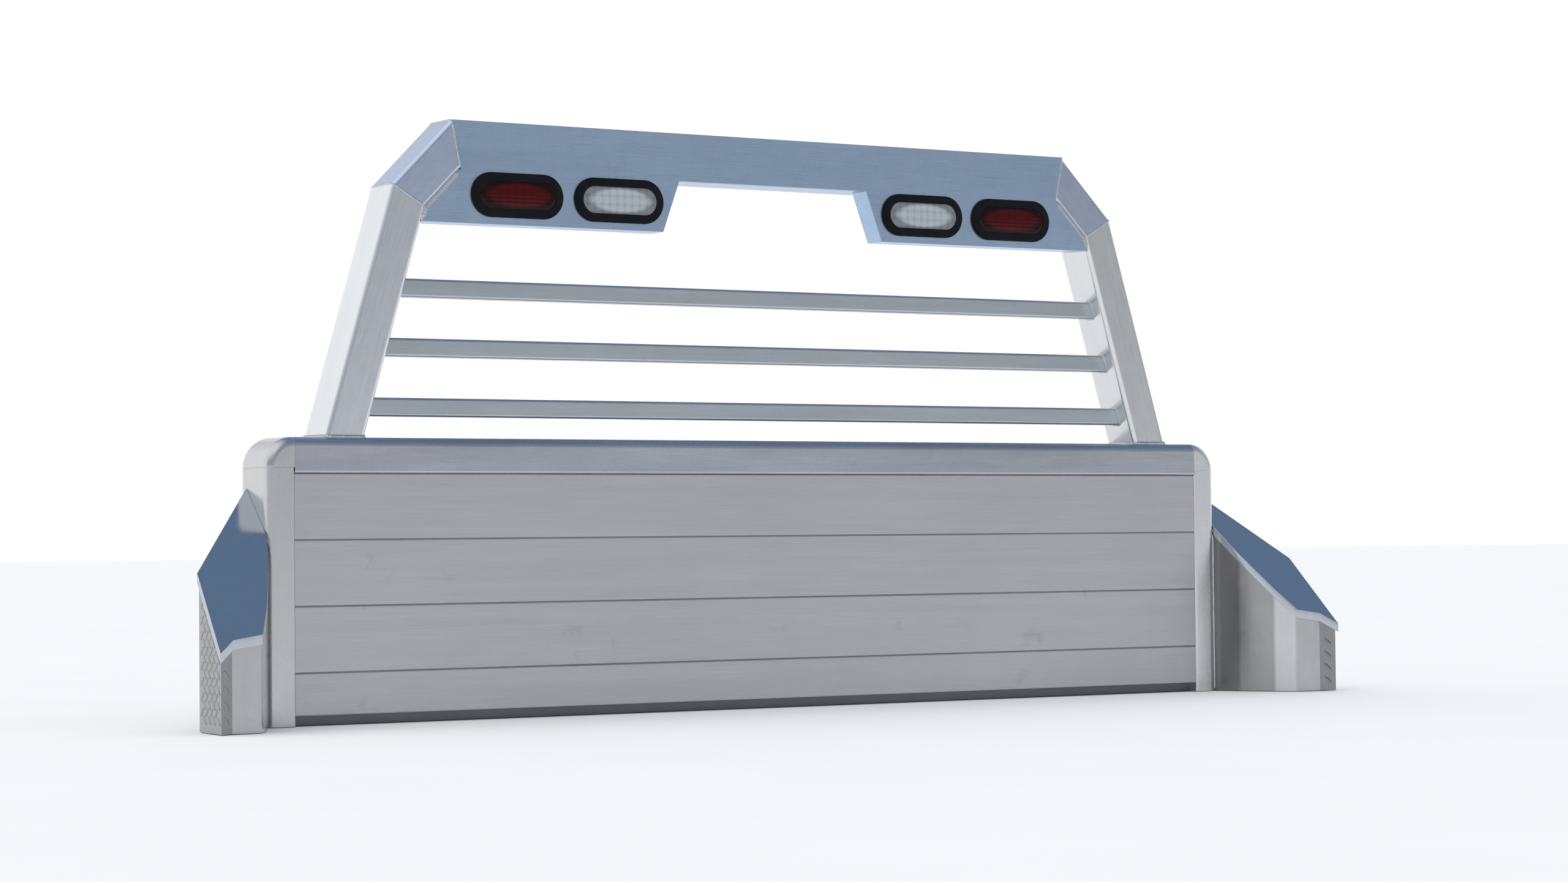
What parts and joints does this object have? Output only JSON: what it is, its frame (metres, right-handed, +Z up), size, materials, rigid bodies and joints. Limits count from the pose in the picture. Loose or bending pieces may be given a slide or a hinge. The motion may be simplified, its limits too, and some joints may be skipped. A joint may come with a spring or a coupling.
{
  "type": "truck headache rack",
  "caption": "Aluminium flatbed headache rack: a plank bulkhead with a barred window frame above it, oval stop and reversing lamps in the top, and low tread-plate corner wings.",
  "frame": {"origin": "on the deck, at mid width and mid depth of the bulkhead", "axes": "+X to the truck's right, +Y towards the cab, +Z up"},
  "size_m": [2.4916, 0.3268, 1.085],
  "materials": {
    "mill_aluminium": "mill finish extrusion, matt grey",
    "post_aluminium": "bright brushed tube with rounded edges",
    "plank_aluminium": "lengthwise brushed extruded planks",
    "rail_aluminium": "satin brushed tube",
    "panel_aluminium": "satin brushed plate",
    "stainless_screw": "stainless button screw",
    "grommet_rubber": "black moulded rubber",
    "red_lens": "deep red moulded lens",
    "clear_lens": "clear moulded lens over a bright reflector",
    "lamp_housing": "black moulded plastic",
    "circuit_board": "green circuit board with pale emitters",
    "loom_sheath": "black cable sheath",
    "tread_plate": "bright raised tread plate",
    "wing_sheet": "smooth polished sheet"
  },
  "bodies": {
    "root": {"base_sill": "mill_aluminium", "end_post_left": "post_aluminium", "end_post_right": "post_aluminium", "bulkhead_plank_1": "plank_aluminium", "bulkhead_plank_2": "plank_aluminium", "bulkhead_plank_3": "plank_aluminium", "bulkhead_plank_4": "plank_aluminium", "top_rail": "rail_aluminium", "rail_corner_left": "post_aluminium", "rail_corner_right": "post_aluminium", "stud_outer_left": "mill_aluminium", "stud_inner_left": "mill_aluminium", "stud_inner_right": "mill_aluminium", "stud_outer_right": "mill_aluminium", "frame_post_left": "post_aluminium", "frame_post_right": "post_aluminium", "corner_tube_left": "post_aluminium", "corner_tube_right": "post_aluminium", "top_crossmember": "panel_aluminium", "lamp_panel": "panel_aluminium", "light_box_left": "panel_aluminium", "light_box_right": "panel_aluminium", "box_cover_left": "panel_aluminium", "box_cover_right": "panel_aluminium", "cover_screws": "stainless_screw", "window_bar_1": "rail_aluminium", "window_bar_2": "rail_aluminium", "window_bar_3": "rail_aluminium", "grommet_outer_left": "grommet_rubber", "grommet_inner_left": "grommet_rubber", "grommet_inner_right": "grommet_rubber", "grommet_outer_right": "grommet_rubber", "lens_red_left": "red_lens", "lens_clear_left": "clear_lens", "lens_clear_right": "clear_lens", "lens_red_right": "red_lens", "housing_outer_left": "lamp_housing", "housing_inner_left": "lamp_housing", "housing_inner_right": "lamp_housing", "housing_outer_right": "lamp_housing", "led_board_outer_left": "circuit_board", "led_board_inner_left": "circuit_board", "led_board_inner_right": "circuit_board", "led_board_outer_right": "circuit_board", "lamp_plugs": "lamp_housing", "wiring_loom": "loom_sheath", "loom_gland": "grommet_rubber", "wing_skin_left": "tread_plate", "wing_skin_right": "tread_plate", "wing_liner_left": "wing_sheet", "wing_liner_right": "wing_sheet", "wing_cap_left": "wing_sheet", "wing_cap_right": "wing_sheet", "wing_foot_left": "mill_aluminium", "wing_foot_right": "mill_aluminium"}
  },
  "joints": []
}
